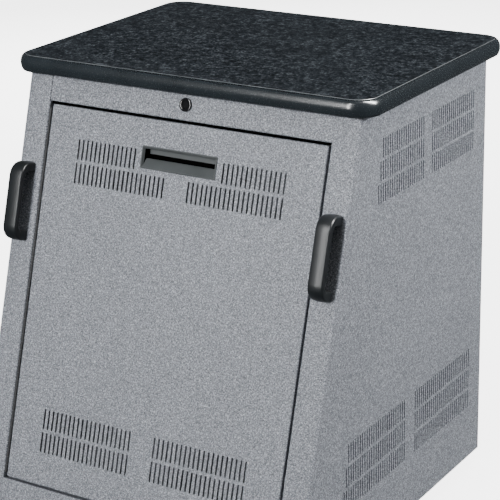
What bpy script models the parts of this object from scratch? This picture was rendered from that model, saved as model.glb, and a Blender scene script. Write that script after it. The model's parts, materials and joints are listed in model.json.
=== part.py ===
"""Mobile lectern base.

A folded sheet-steel cabinet with a sloping front carries a laminate worktop with a moulded bumper
edge. Its front and rear doors hang on continuous hinges and lock to the header above them with cam
locks. It stands on four swivel casters that are recessed behind its skirt, and two bow handles on
the front stiles move it.

+X is to the right of a person who faces the front, +Y points to the rear and +Z up. The origin is
on the floor at the centre of the whole object's box. Lengths are in metres.
"""

import math

import bmesh
import bpy
from mathutils import Matrix, Vector

# Whole object
TOTAL_HEIGHT = 0.760
WORKTOP_WIDTH = 0.660
WORKTOP_DEPTH = 0.475
WORKTOP_THICKNESS = 0.027
WORKTOP_CORNER_RADIUS = 0.040
REAR_OVERHANG = 0.027
BODY_WIDTH = 0.610
BODY_TOP_DEPTH = 0.426
FRONT_SLOPE = math.radians(17.2)
SKIRT_HEIGHT = 0.020
SHEET = 0.0015
BEND_RADIUS = 0.003
CLEARANCE = 0.0003

# Worktop edging
EDGING_WIDTH = 0.009
EDGING_ROUND = 0.0075
EDGING_DROP = 0.0004
TONGUE_DEPTH = 0.011
TONGUE_THICKNESS = 0.0026

# Stiles, headers and sills; "down" is measured along a face from the worktop's underside
STILE_WIDTH = 0.045
STILE_RETURN = 0.015
HEADER_BOTTOM = 0.045
FLANGE_DEPTH = 0.018
DOOR_TOP = 0.0496
DOOR_BOTTOM_GAP = 0.004
FRONT_SILL_TOP = 0.668
REAR_SILL_TOP = 0.638
HEADER_SEAM = 0.0008
EDGE_BEND_RADIUS = 0.002
PAN_FRONT_INSET = 0.0190
PAN_REAR_INSET = 0.0190
TOP_PAN_FLANGE = 0.012
FLOOR_PAN_FLANGE = 0.020
FLOOR_PAN_TOP = 0.0965

# Doors
HINGE_GAP = 0.0068
LATCH_GAP = 0.0033
HINGE_DEPTH = 0.0015
KNUCKLE_RADIUS = 0.0024
PIN_RADIUS = 0.0012
KNUCKLE_COUNT = 7
LEAF_THICKNESS = 0.0012
LEAF_WIDTH = 0.010
STIFFENER_WIDTH = 0.036
STIFFENER_DEPTH = 0.014
STIFFENER_BRIM = 0.008
STIFFENER_SHEET = 0.001
STIFFENER_BELOW_ROW = 0.030
STIFFENER_ABOVE_FOOT = 0.020
HINGE_END_GAP = 0.006
SLOT_WIDTH = 0.0030
SLOT_LENGTH = 0.033
SLOT_PITCH = 0.0084
SLOTS_IN_ROW = 21
SLOTS_BESIDE_PULL = 14
FIRST_SLOT = 0.0235
ROW_PITCH = 0.038
FIRST_ROW = 0.1155
LOWEST_ROW_ABOVE_DOOR_BOTTOM = 0.0705

# Recessed pull
PULL_WIDTH = 0.140
PULL_HEIGHT = 0.036
PULL_FRAME = 0.0025
PULL_DEPTH = 0.0250
PULL_BACK = 0.0155
PULL_WALL = 0.0016
PULL_NECK = 0.003
PULL_PROUD = 0.0015
PULL_DOWN = 0.110

# Cam lock
LOCK_DOWN = 0.0205
LOCK_HEAD_RADIUS = 0.011
LOCK_BARREL_RADIUS = 0.0095
LOCK_PLUG_RADIUS = 0.006
LOCK_BARREL_LENGTH = 0.0175
LOCK_HEAD = 0.0040
LOCK_HEAD_CHAMFER = 0.002
LOCK_NUT_RADIUS = 0.0132
LOCK_NUT_THICKNESS = 0.004
KEYWAY_LENGTH = 0.007
KEYWAY_WIDTH = 0.0014
CAM_LENGTH = 0.040
CAM_WIDTH = 0.012
CAM_THICKNESS = 0.002

# Bow handles
HANDLE_LENGTH = 0.128
HANDLE_WIDTH = 0.026
HANDLE_HEIGHT = 0.036
HANDLE_LEG = 0.016
HANDLE_GRIP = 0.010
HANDLE_DOWN = 0.2120
HANDLE_ACROSS = 0.2845
HANDLE_OUTER_ROUND = 0.022
HANDLE_INNER_ROUND = 0.010
HANDLE_EDGE_ROUND = 0.0035
SCREW_RADIUS = 0.0025
SCREW_HEAD_RADIUS = 0.0045
SCREW_HEAD = 0.0030
SCREW_REACH = 0.014

# Equipment rails and shelf
RAIL_INNER = 0.225
RAIL_WIDTH = 0.030
RAIL_FRONT_Y = -0.085
RAIL_REAR_Y = 0.272
RAIL_SHEET = 0.002
RAIL_BEND_RADIUS = 0.0025
SHELF_HEIGHT = 0.400
SHELF_FLANGE = 0.022
SHELF_INSET = 0.002

# Casters
WHEEL_RADIUS = 0.0375
WHEEL_HALF_WIDTH = 0.0125
CASTER_TRAIL = 0.028
CASTER_ACROSS = 0.228
CASTER_FRONT_Y = -0.220
CASTER_REAR_Y = 0.218
CASTER_PLATE = 0.0025
CASTER_PLATE_HALF_WIDTH = 0.030
CASTER_PLATE_HALF_DEPTH = 0.036
SWIVEL_GAP = 0.0005
SWIVEL_HEIGHT = 0.0032
SWIVEL_RADIUS = 0.024
KINGPIN_RADIUS = 0.005
FORK_FRONT = 0.020
FORK_REAR = 0.024
FORK_END_RADIUS = 0.009
FORK_SHEET = 0.0025
FORK_INNER = 0.014
AXLE_RADIUS = 0.003
AXLE_HEAD_RADIUS = 0.0055
AXLE_HEAD = 0.0029

# Worked out from the above
UNDERSIDE = TOTAL_HEIGHT - WORKTOP_THICKNESS
BODY_HEIGHT = UNDERSIDE - SKIRT_HEIGHT
FRONT_RUN = BODY_HEIGHT * math.tan(FRONT_SLOPE)
TOTAL_DEPTH = FRONT_RUN + BODY_TOP_DEPTH + REAR_OVERHANG
REAR_Y = TOTAL_DEPTH / 2 - REAR_OVERHANG
FRONT_TOP_Y = REAR_Y - BODY_TOP_DEPTH
WORKTOP_CENTRE_Y = (TOTAL_DEPTH - WORKTOP_DEPTH) / 2
OPENING_HALF = BODY_WIDTH / 2 - STILE_WIDTH
HINGE_X = -(OPENING_HALF - HINGE_GAP / 2)
DOOR_LEFT = -(OPENING_HALF - HINGE_GAP)
DOOR_RIGHT = OPENING_HALF - LATCH_GAP
PAN_HALF_WIDTH = BODY_WIDTH / 2 - SHEET - CLEARANCE
FRONT_LENGTH = BODY_HEIGHT / math.cos(FRONT_SLOPE)
PLATE_TOP = FLOOR_PAN_TOP - SHEET - CLEARANCE
PLATE_BOTTOM = PLATE_TOP - CASTER_PLATE
SWIVEL_TOP = PLATE_BOTTOM - SWIVEL_GAP
FORK_TOP = SWIVEL_TOP - SWIVEL_HEIGHT


def clear_scene():
    for obj in list(bpy.data.objects):
        bpy.data.objects.remove(obj, do_unlink=True)


def new_collection(name):
    group = bpy.data.collections.new(name)
    bpy.context.scene.collection.children.link(group)
    return group


clear_scene()
PARTS = new_collection("lectern_podium")
CUTTERS = new_collection("cutters")


def new_material(name, colour, roughness, metallic=0.0):
    made = bpy.data.materials.new(name)
    made.use_nodes = True
    shader = made.node_tree.nodes["Principled BSDF"]
    shader.inputs["Base Color"].default_value = (*colour, 1.0)
    shader.inputs["Roughness"].default_value = roughness
    shader.inputs["Metallic"].default_value = metallic
    return made


PAINT = new_material("grey_powder_coat", (0.30, 0.31, 0.33), 0.6)
LAMINATE = new_material("charcoal_laminate", (0.025, 0.028, 0.030), 0.45)
EDGE_PLASTIC = new_material("edging_plastic", (0.030, 0.036, 0.040), 0.4)
PLASTIC = new_material("black_plastic", (0.020, 0.023, 0.025), 0.45)
PULL_PLASTIC = new_material("grey_plastic", (0.085, 0.090, 0.092), 0.5)
ZINC = new_material("zinc_plate", (0.55, 0.55, 0.54), 0.35, 1.0)
DARK_STEEL = new_material("dark_steel", (0.060, 0.063, 0.066), 0.5, 0.6)
LOCK_BLACK = new_material("gloss_black", (0.010, 0.010, 0.011), 0.15)
TYRE_RUBBER = new_material("tyre_rubber", (0.030, 0.030, 0.032), 0.7)


def new_empty(name, location, rotation=(0.0, 0.0, 0.0), parent=None):
    """Adds an empty that carries the pieces fixed to one place or one joint."""
    empty = bpy.data.objects.new(name, None)
    empty.location = location
    empty.rotation_euler = rotation
    empty.parent = parent
    PARTS.objects.link(empty)
    return empty


def add_part(name, mesh, finish, parent=None, location=(0.0, 0.0, 0.0), rotation=(0.0, 0.0, 0.0)):
    part = bpy.data.objects.new(name, mesh)
    part.parent = parent
    part.location = location
    part.rotation_euler = rotation
    part.data.materials.append(finish)
    PARTS.objects.link(part)
    return part


def add_cutter(name, mesh, beside, location=None):
    """Adds a hidden tool in the same place as the piece that it cuts or joins."""
    tool = bpy.data.objects.new(name, mesh)
    tool.parent = beside.parent
    tool.location = beside.location if location is None else location
    tool.rotation_euler = beside.rotation_euler
    tool.hide_render = True
    tool.display_type = "WIRE"
    CUTTERS.objects.link(tool)
    return tool


def add_boolean(part, tool, operation):
    boolean = part.modifiers.new(tool.name, "BOOLEAN")
    boolean.operation = operation
    boolean.object = tool


def add_bevel(part, width, segments, angle=30.0):
    bevel = part.modifiers.new("rounding", "BEVEL")
    bevel.width = width
    bevel.segments = segments
    bevel.limit_method = "ANGLE"
    bevel.angle_limit = math.radians(angle)


def add_solidify(part, thickness):
    """Gives an open surface its thickness on the inner side."""
    solidify = part.modifiers.new("sheet", "SOLIDIFY")
    solidify.thickness = thickness
    solidify.offset = -1.0
    solidify.use_even_offset = True


def mesh_from(bm, name):
    mesh = bpy.data.meshes.new(name)
    bm.to_mesh(mesh)
    bm.free()
    return mesh


def add_cube(bm, low, high):
    """Adds a box between two corners to a bmesh."""
    low, high = Vector(low), Vector(high)
    size = Matrix.Diagonal((*(high - low), 1.0))
    return bmesh.ops.create_cube(bm, size=1.0, matrix=Matrix.Translation((low + high) / 2) @ size)


def block(name, low, high):
    bm = bmesh.new()
    add_cube(bm, low, high)
    return mesh_from(bm, name)


def pan(name, low, high):
    """A box without its lowest face, ready for the sheet thickness."""
    bm = bmesh.new()
    add_cube(bm, low, high)
    lowest = min(bm.faces, key=lambda face: face.calc_center_median().z)
    bmesh.ops.delete(bm, geom=[lowest], context="FACES")
    return mesh_from(bm, name)


def rod(name, radius, start, end, segments=16):
    """A cylinder between two points that lie along one axis."""
    start, end = Vector(start), Vector(end)
    turn = (end - start).to_track_quat("Z", "Y").to_matrix().to_4x4()
    bm = bmesh.new()
    bmesh.ops.create_cone(
        bm,
        cap_ends=True,
        segments=segments,
        radius1=radius,
        radius2=radius,
        depth=(end - start).length,
        matrix=Matrix.Translation((start + end) / 2) @ turn,
    )
    return mesh_from(bm, name)


def slab(name, outline, thickness, place=None):
    """A flat outline in the XY plane with its thickness centred on that plane, then moved by place."""
    curve = bpy.data.curves.new(name, "CURVE")
    curve.dimensions = "2D"
    curve.fill_mode = "BOTH"
    curve.extrude = thickness / 2
    spline = curve.splines.new("POLY")
    spline.points.add(len(outline) - 1)
    spline.use_cyclic_u = True
    for point, (x, y) in zip(spline.points, outline):
        point.co = (x, y, 0.0, 1.0)
    guide = bpy.data.objects.new(name, curve)
    CUTTERS.objects.link(guide)
    seen = guide.evaluated_get(bpy.context.evaluated_depsgraph_get())
    mesh = bpy.data.meshes.new_from_object(seen)
    bpy.data.objects.remove(guide)
    bm = bmesh.new()
    bm.from_mesh(mesh)
    bmesh.ops.remove_doubles(bm, verts=bm.verts, dist=1e-6)
    bmesh.ops.recalc_face_normals(bm, faces=bm.faces)
    bm.to_mesh(mesh)
    bm.free()
    if place is not None:
        mesh.transform(place)
    return mesh


def arc(centre, radius, first, last, segments):
    """Points on an arc, from the first angle to the last, in degrees."""
    angles = [math.radians(first + (last - first) * i / segments) for i in range(segments + 1)]
    return [(centre[0] + radius * math.cos(a), centre[1] + radius * math.sin(a)) for a in angles]


def rounded_rectangle(width, depth, radius, segments=8):
    across, along = width / 2 - radius, depth / 2 - radius
    centres = ((across, along), (-across, along), (-across, -along), (across, -along))
    outline = []
    for number, centre in enumerate(centres):
        outline += arc(centre, radius, 90 * number, 90 * number + 90, segments)
    return outline


def turned(name, profile, finish, parent, closed=False, steps=20, location=(0, 0, 0), rotation=(0, 0, 0)):
    """A profile of (radius, height) points turned round its local Z axis."""
    bm = bmesh.new()
    points = [bm.verts.new((radius, 0.0, height)) for radius, height in profile]
    for first, second in zip(points, points[1:]):
        bm.edges.new((first, second))
    if closed:
        bm.edges.new((points[-1], points[0]))
    part = add_part(name, mesh_from(bm, name), finish, parent, location, rotation)
    screw = part.modifiers.new("turned", "SCREW")
    screw.steps = steps
    screw.render_steps = steps
    screw.use_merge_vertices = True
    screw.merge_threshold = 1e-6
    return part


def folded(name, stations, finish, parent=None, radius=BEND_RADIUS, thickness=SHEET):
    """Folded sheet: each station is the two ends of one line across the sheet's outer face."""
    bm = bmesh.new()
    rows = [[bm.verts.new(point) for point in station] for station in stations]
    for (a, b), (c, d) in zip(rows, rows[1:]):
        bm.faces.new((a, b, d, c))
    part = add_part(name, mesh_from(bm, name), finish, parent)
    add_bevel(part, radius, 3)
    add_solidify(part, thickness)
    return part


def sheet_pan(name, low, high, finish, parent=None, location=(0.0, 0.0, 0.0), thickness=SHEET):
    part = add_part(name, pan(name, low, high), finish, parent, location)
    add_bevel(part, EDGE_BEND_RADIUS, 2)
    add_solidify(part, thickness)
    return part


def front_y(height):
    """Where the sloping front plane is at a height."""
    return FRONT_TOP_Y - (UNDERSIDE - height) * math.tan(FRONT_SLOPE)


# On both faces local X runs across, local Y up along the face and local Z out of it, and the origin
# is at the middle of the face's top edge, under the worktop.
FRONT_FACE = new_empty("front_face", (0, FRONT_TOP_Y, UNDERSIDE), (math.pi / 2 - FRONT_SLOPE, 0, 0))
REAR_FACE = new_empty("rear_face", (0, REAR_Y, UNDERSIDE), (math.pi / 2, 0, math.pi))


def worktop_slab(name, inset, thickness, middle, segments=8):
    outline = rounded_rectangle(
        WORKTOP_WIDTH - 2 * inset,
        WORKTOP_DEPTH - 2 * inset,
        WORKTOP_CORNER_RADIUS - inset,
        segments,
    )
    return slab(name, outline, thickness, Matrix.Translation((0, WORKTOP_CENTRE_Y, middle)))


def worktop_ring(name, outer_inset, inner_inset, thickness, middle, beside):
    """A hidden ring that follows the worktop's outline."""
    ring = add_cutter(name, worktop_slab(name, outer_inset, thickness, middle), beside)
    core = add_cutter(name + "_core", worktop_slab(name, inner_inset, 2 * thickness, middle), beside)
    add_boolean(ring, core, "DIFFERENCE")
    return ring


def make_worktop():
    board_thickness = WORKTOP_THICKNESS - CLEARANCE
    board_middle = TOTAL_HEIGHT - board_thickness / 2
    edging_thickness = WORKTOP_THICKNESS - EDGING_DROP
    edging_middle = UNDERSIDE + edging_thickness / 2
    tongue_middle = UNDERSIDE + WORKTOP_THICKNESS / 2

    board_slab = worktop_slab("board", EDGING_WIDTH, board_thickness, board_middle)
    board = add_part("worktop_board", board_slab, LAMINATE)
    groove = worktop_ring(
        "edging_groove",
        EDGING_WIDTH / 2,
        EDGING_WIDTH + TONGUE_DEPTH,
        TONGUE_THICKNESS + 2 * CLEARANCE,
        tongue_middle,
        board,
    )
    add_boolean(board, groove, "DIFFERENCE")

    edging_slab = worktop_slab("edging", 0.0, edging_thickness, edging_middle)
    edging = add_part("worktop_edging", edging_slab, EDGE_PLASTIC)
    add_bevel(edging, EDGING_ROUND, 3)
    board_room = add_cutter(
        "board_room",
        worktop_slab("board_room", EDGING_WIDTH - CLEARANCE, 2 * WORKTOP_THICKNESS, tongue_middle),
        edging,
    )
    add_boolean(edging, board_room, "DIFFERENCE")
    tongue = worktop_ring(
        "edging_tongue",
        EDGING_WIDTH / 2,
        EDGING_WIDTH + TONGUE_DEPTH - CLEARANCE,
        TONGUE_THICKNESS,
        tongue_middle,
        edging,
    )
    add_boolean(edging, tongue, "UNION")


def make_side_panel(name, side):
    """A side with its front and rear stiles and their returns folded from one sheet."""
    top = UNDERSIDE - CLEARANCE
    bottom = SKIRT_HEIGHT
    outer, inner = side * BODY_WIDTH / 2, side * OPENING_HALF
    fold_line = [
        (inner, REAR_Y - STILE_RETURN, REAR_Y - STILE_RETURN),
        (inner, REAR_Y, REAR_Y),
        (outer, REAR_Y, REAR_Y),
        (outer, front_y(top), front_y(bottom)),
        (inner, front_y(top), front_y(bottom)),
        (inner, front_y(top) + STILE_RETURN, front_y(bottom) + STILE_RETURN),
    ]
    stations = [((x, y_top, top), (x, y_bottom, bottom)) for x, y_top, y_bottom in fold_line]
    if side > 0:
        stations.reverse()
    return folded(name, stations, PAINT)


def make_header(name, face, left_gap, right_gap):
    """The rail between the stiles above a door, with a return along its top and its bottom."""
    left, right = -OPENING_HALF + left_gap, OPENING_HALF - right_gap
    top = -2 * CLEARANCE
    section = [
        (-HEADER_BOTTOM, -FLANGE_DEPTH),
        (-HEADER_BOTTOM, 0.0),
        (top, 0.0),
        (top, -FLANGE_DEPTH),
    ]
    stations = [((left, y, z), (right, y, z)) for y, z in section]
    header = folded(name, stations, PAINT, face, radius=EDGE_BEND_RADIUS)
    reach = LOCK_BARREL_RADIUS + CLEARANCE
    hole = rod("lock_hole", reach, (0, -LOCK_DOWN, -0.01), (0, -LOCK_DOWN, 0.01), 20)
    add_boolean(header, add_cutter(name + "_lock_hole", hole, header), "DIFFERENCE")


def make_sill(name, face, top, bottom):
    """The skirt rail under a door, with a return along its top."""
    half = OPENING_HALF - CLEARANCE
    section = [(-bottom, 0.0), (-top, 0.0), (-top, -FLANGE_DEPTH)]
    stations = [((-half, y, z), (half, y, z)) for y, z in section]
    folded(name, stations, PAINT, face, radius=EDGE_BEND_RADIUS)


def make_cabinet():
    left = make_side_panel("left_side_panel", -1)
    right = make_side_panel("right_side_panel", 1)
    make_header("header_panel", FRONT_FACE, HEADER_SEAM, CLEARANCE)
    make_sill("front_sill", FRONT_FACE, FRONT_SILL_TOP, FRONT_LENGTH)
    make_header("rear_header", REAR_FACE, CLEARANCE, CLEARANCE)
    make_sill("rear_sill", REAR_FACE, REAR_SILL_TOP, BODY_HEIGHT)
    rear = REAR_Y - PAN_REAR_INSET
    top = UNDERSIDE - CLEARANCE
    sheet_pan(
        "top_pan",
        (-PAN_HALF_WIDTH, FRONT_TOP_Y + PAN_FRONT_INSET, top - TOP_PAN_FLANGE),
        (PAN_HALF_WIDTH, rear, top),
        PAINT,
    )
    sheet_pan(
        "floor_pan",
        (-PAN_HALF_WIDTH, front_y(FLOOR_PAN_TOP) + PAN_FRONT_INSET, FLOOR_PAN_TOP - FLOOR_PAN_FLANGE),
        (PAN_HALF_WIDTH, rear, FLOOR_PAN_TOP),
        PAINT,
    )
    return {-1: left, 1: right}


def add_slots(bm, row_down, numbers):
    """Adds the tools for one row of slots on each side of a door's middle."""
    for side in (-1, 1):
        for number in numbers:
            x = side * (FIRST_SLOT + number * SLOT_PITCH)
            low = (x - SLOT_WIDTH / 2, -row_down - SLOT_LENGTH / 2, -2 * SHEET)
            high = (x + SLOT_WIDTH / 2, -row_down + SLOT_LENGTH / 2, SHEET)
            add_cube(bm, low, high)


def slot_tools(name, door_bottom, twin_rows):
    """A door's vent slots: a row under its pull and one near its foot, or two of each with twin_rows."""
    bm = bmesh.new()
    lowest = door_bottom - LOWEST_ROW_ABOVE_DOOR_BOTTOM
    add_slots(bm, FIRST_ROW + ROW_PITCH, range(SLOTS_IN_ROW))
    add_slots(bm, lowest, range(SLOTS_IN_ROW))
    if twin_rows:
        add_slots(bm, FIRST_ROW, range(SLOTS_IN_ROW - SLOTS_BESIDE_PULL, SLOTS_IN_ROW))
        add_slots(bm, lowest - ROW_PITCH, range(SLOTS_IN_ROW))
    return mesh_from(bm, name)


def make_pull(name, parent, location):
    """A framed pocket: its lower lip slopes in to a deep slot that fingers hook down into."""
    half_width, half_height = PULL_WIDTH / 2, PULL_HEIGHT / 2
    frame_block = block(
        name,
        (-half_width, -half_height, CLEARANCE),
        (half_width, half_height, PULL_PROUD),
    )
    frame = add_part(name, frame_block, PULL_PLASTIC, parent, location)
    cup = block(
        "cup",
        (-half_width + PULL_NECK, -half_height + PULL_NECK, -PULL_DEPTH),
        (half_width - PULL_NECK, half_height - PULL_NECK, PULL_PROUD / 2),
    )
    add_boolean(frame, add_cutter(name + "_cup", cup, frame), "UNION")
    inner = half_height - PULL_NECK - PULL_WALL
    floor = PULL_WALL - PULL_DEPTH
    mouth = half_height - PULL_FRAME
    clear_of_frame = 0.004
    frame_step = 0.0005
    lip_tip, lip_tip_back, lip_root = -0.0080, -0.0095, -0.0028
    slot_low, slot_high = -0.0015, 0.0055
    pocket_profile = [
        (mouth, clear_of_frame),
        (-mouth, clear_of_frame),
        (-mouth, frame_step),
        (slot_low, lip_tip),
        (slot_low, lip_tip_back),
        (-inner, lip_root),
        (-inner, floor),
        (slot_high, floor),
        (slot_high, -PULL_BACK),
        (inner, -PULL_BACK),
        (inner, -PULL_WALL),
        (mouth, frame_step),
    ]
    lie_across = Matrix(((0, 0, 1, 0), (1, 0, 0, 0), (0, 1, 0, 0), (0, 0, 0, 1)))
    pocket = slab("pocket", pocket_profile, PULL_WIDTH - 2 * (PULL_NECK + PULL_WALL), lie_across)
    add_boolean(frame, add_cutter(name + "_pocket", pocket, frame), "DIFFERENCE")


def make_leaf(name, side, parent, location, span, knuckles):
    """A hinge leaf, its flat on one side of the pin, with the knuckles that it carries."""
    top, bottom = span
    far = side * (HINGE_GAP / 2 - CLEARANCE)
    near = far - side * LEAF_THICKNESS
    sides = sorted((far, near))
    clear_of_knuckles = -KNUCKLE_RADIUS - 0.0006
    leaf_back = clear_of_knuckles - LEAF_WIDTH
    flat = block(name, (sides[0], bottom, leaf_back), (sides[1], top, clear_of_knuckles))
    leaf = add_part(name, flat, DARK_STEEL, parent, location)
    tabs = bmesh.new()
    barrels = bmesh.new()
    for low, high in knuckles:
        add_cube(tabs, (sides[0], low, clear_of_knuckles - 0.001), (sides[1], high, 0.0))
        turn = Matrix.Rotation(math.pi / 2, 4, "X")
        bmesh.ops.create_cone(
            barrels,
            cap_ends=True,
            segments=12,
            radius1=KNUCKLE_RADIUS,
            radius2=KNUCKLE_RADIUS,
            depth=high - low,
            matrix=Matrix.Translation((0, (low + high) / 2, 0)) @ turn,
        )
    add_boolean(leaf, add_cutter(name + "_tabs", mesh_from(tabs, "tabs"), leaf), "UNION")
    add_boolean(leaf, add_cutter(name + "_barrels", mesh_from(barrels, "barrels"), leaf), "UNION")
    bore = rod("bore", PIN_RADIUS + CLEARANCE, (0, bottom - 0.01, 0), (0, top + 0.01, 0), 10)
    add_boolean(leaf, add_cutter(name + "_bore", bore, leaf), "DIFFERENCE")


def make_hinge(prefix, face, axis, door_bottom):
    """A continuous hinge down the door's left edge; its knuckles alternate between the two leaves."""
    top, bottom = -DOOR_TOP - HINGE_END_GAP, -door_bottom + HINGE_END_GAP
    length = (top - bottom) / KNUCKLE_COUNT
    ends = [
        (top - (number + 1) * length + CLEARANCE, top - number * length - CLEARANCE)
        for number in range(KNUCKLE_COUNT)
    ]
    frame_location = axis.location
    door_location = (0, 0, 0)
    make_leaf(prefix + "_hinge_frame_leaf", -1, face, frame_location, (top, bottom), ends[0::2])
    make_leaf(prefix + "_hinge_door_leaf", 1, axis, door_location, (top, bottom), ends[1::2])
    pin = rod("pin", PIN_RADIUS, (0, bottom, 0), (0, top, 0), 10)
    add_part(prefix + "_hinge_pin", pin, DARK_STEEL, face, frame_location)


def make_door(prefix, face, door_bottom, twin_rows):
    """A pan-shaped door with its stiffener and pull, on an axis empty that carries all that swings."""
    axis = new_empty(prefix + "_hinge_axis", (HINGE_X, 0, -HINGE_DEPTH), parent=face)
    back = -axis.location
    panel = sheet_pan(
        prefix + "_panel",
        (DOOR_LEFT, -door_bottom, -FLANGE_DEPTH),
        (DOOR_RIGHT, -DOOR_TOP, 0.0),
        PAINT,
        axis,
        back,
    )
    slots = slot_tools(prefix + "_slots", door_bottom, twin_rows)
    add_boolean(panel, add_cutter(prefix + "_slots", slots, panel), "DIFFERENCE")
    cup_room = PULL_NECK - CLEARANCE
    window = block(
        "window",
        (-PULL_WIDTH / 2 + cup_room, -PULL_DOWN - PULL_HEIGHT / 2 + cup_room, -0.01),
        (PULL_WIDTH / 2 - cup_room, -PULL_DOWN + PULL_HEIGHT / 2 - cup_room, 0.01),
    )
    add_boolean(panel, add_cutter(prefix + "_window", window, panel), "DIFFERENCE")
    make_pull(prefix + "_pull", axis, back + Vector((0, -PULL_DOWN, 0)))

    sheet_back = -SHEET - CLEARANCE
    deepest = sheet_back - STIFFENER_DEPTH
    half, brim = STIFFENER_WIDTH / 2 - STIFFENER_BRIM, STIFFENER_WIDTH / 2
    top, bottom = -FIRST_ROW - STIFFENER_BELOW_ROW, -door_bottom + STIFFENER_ABOVE_FOOT
    hat = [(-brim, sheet_back), (-half, sheet_back), (-half, deepest)]
    hat += [(-x, z) for x, z in reversed(hat)]
    stiffener = folded(
        prefix + "_stiffener",
        [((x, top, z), (x, bottom, z)) for x, z in hat],
        PAINT,
        axis,
        radius=STIFFENER_SHEET,
        thickness=STIFFENER_SHEET,
    )
    stiffener.location = back
    make_hinge(prefix, face, axis, door_bottom)


def make_lock(prefix, face):
    """A cam lock; the plug and cam turn, and the cam points sideways when the door is free."""
    middle = (0, -LOCK_DOWN, 0)
    bore = LOCK_PLUG_RADIUS + CLEARANCE
    seat = CLEARANCE
    body_profile = [
        (bore, LOCK_HEAD),
        (LOCK_HEAD_RADIUS - LOCK_HEAD_CHAMFER, LOCK_HEAD),
        (LOCK_HEAD_RADIUS, LOCK_HEAD - LOCK_HEAD_CHAMFER),
        (LOCK_HEAD_RADIUS, seat),
        (LOCK_BARREL_RADIUS, seat),
        (LOCK_BARREL_RADIUS, -LOCK_BARREL_LENGTH),
        (bore, -LOCK_BARREL_LENGTH),
    ]
    turned(prefix + "_lock_body", body_profile, LOCK_BLACK, face, closed=True, location=middle)

    nut_back = -SHEET - CLEARANCE
    nut = add_part(
        prefix + "_lock_nut",
        rod("nut", LOCK_NUT_RADIUS, (0, 0, nut_back - LOCK_NUT_THICKNESS), (0, 0, nut_back), 6),
        ZINC,
        face,
        middle,
    )
    thread = rod("thread", LOCK_BARREL_RADIUS + CLEARANCE, (0, 0, -0.02), (0, 0, 0.02), 20)
    add_boolean(nut, add_cutter(prefix + "_nut_thread", thread, nut), "DIFFERENCE")

    axis = new_empty(prefix + "_lock_axis", middle, parent=face)
    plug_end = -FLANGE_DEPTH - 4 * CLEARANCE
    plug_face = LOCK_HEAD - 0.0008
    plug = add_part(
        prefix + "_lock_plug",
        rod("plug", LOCK_PLUG_RADIUS, (0, 0, plug_end), (0, 0, plug_face), 20),
        ZINC,
        axis,
    )
    keyway = block(
        "keyway",
        (-KEYWAY_LENGTH / 2, -KEYWAY_WIDTH / 2, plug_face - 0.004),
        (KEYWAY_LENGTH / 2, KEYWAY_WIDTH / 2, LOCK_HEAD),
    )
    add_boolean(plug, add_cutter(prefix + "_keyway", keyway, plug), "DIFFERENCE")

    half = CAM_WIDTH / 2
    outline = arc((0, 0), half, 90, 270, 8) + arc((CAM_LENGTH - half, 0), half, -90, 90, 8)
    cam_middle = plug_end - CLEARANCE - CAM_THICKNESS / 2
    cam = slab("cam", outline, CAM_THICKNESS, Matrix.Translation((0, 0, cam_middle)))
    add_part(prefix + "_lock_cam", cam, ZINC, axis)


def make_handle(side_name, side, panel):
    """A bow handle on a front stile, its two screws put in from inside the cabinet."""
    half, height = HANDLE_LENGTH / 2, HANDLE_HEIGHT
    inner_half, inner_height = half - HANDLE_LEG, height - HANDLE_GRIP
    outer, outer_y = half - HANDLE_OUTER_ROUND, height - HANDLE_OUTER_ROUND
    inner, inner_y = inner_half - HANDLE_INNER_ROUND, inner_height - HANDLE_INNER_ROUND
    outline = [(-half, CLEARANCE)]
    outline += arc((-outer, outer_y), HANDLE_OUTER_ROUND, 180, 90, 6)
    outline += arc((outer, outer_y), HANDLE_OUTER_ROUND, 90, 0, 6)
    outline += [(half, CLEARANCE), (inner_half, CLEARANCE)]
    outline += arc((inner, inner_y), HANDLE_INNER_ROUND, 0, 90, 5)
    outline += arc((-inner, inner_y), HANDLE_INNER_ROUND, 90, 180, 5)
    outline += [(-inner_half, CLEARANCE)]
    stand_up = Matrix(((0, 0, 1, 0), (1, 0, 0, 0), (0, 1, 0, 0), (0, 0, 0, 1)))
    place = (side * HANDLE_ACROSS, -HANDLE_DOWN, 0)
    bow = slab("bow", outline, HANDLE_WIDTH, stand_up)
    handle = add_part(side_name + "_handle", bow, PLASTIC, FRONT_FACE, place)
    add_bevel(handle, HANDLE_EDGE_ROUND, 2, 50)

    screw_reach = half - HANDLE_LEG / 2
    hole_radius = SCREW_RADIUS + CLEARANCE
    head_seat = -SHEET - CLEARANCE
    for end_name, end in (("upper", 1), ("lower", -1)):
        screw_place = (place[0], place[1] + end * screw_reach, 0)
        profile = [
            (0.0, SCREW_REACH),
            (SCREW_RADIUS, SCREW_REACH),
            (SCREW_RADIUS, head_seat),
            (SCREW_HEAD_RADIUS, head_seat),
            (SCREW_HEAD_RADIUS, head_seat - SCREW_HEAD / 2),
            (0.6 * SCREW_HEAD_RADIUS, head_seat - SCREW_HEAD),
            (0.0, head_seat - SCREW_HEAD),
        ]
        screw_name = f"{side_name}_handle_screw_{end_name}"
        turned(screw_name, profile, ZINC, FRONT_FACE, steps=12, location=screw_place)
        hole = rod("hole", hole_radius, (0, 0, -0.01), (0, 0, SCREW_REACH + CLEARANCE), 12)
        in_handle = add_cutter(screw_name + "_hole", hole, handle, screw_place)
        add_boolean(handle, in_handle, "DIFFERENCE")
        add_boolean(panel, in_handle, "DIFFERENCE")


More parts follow.
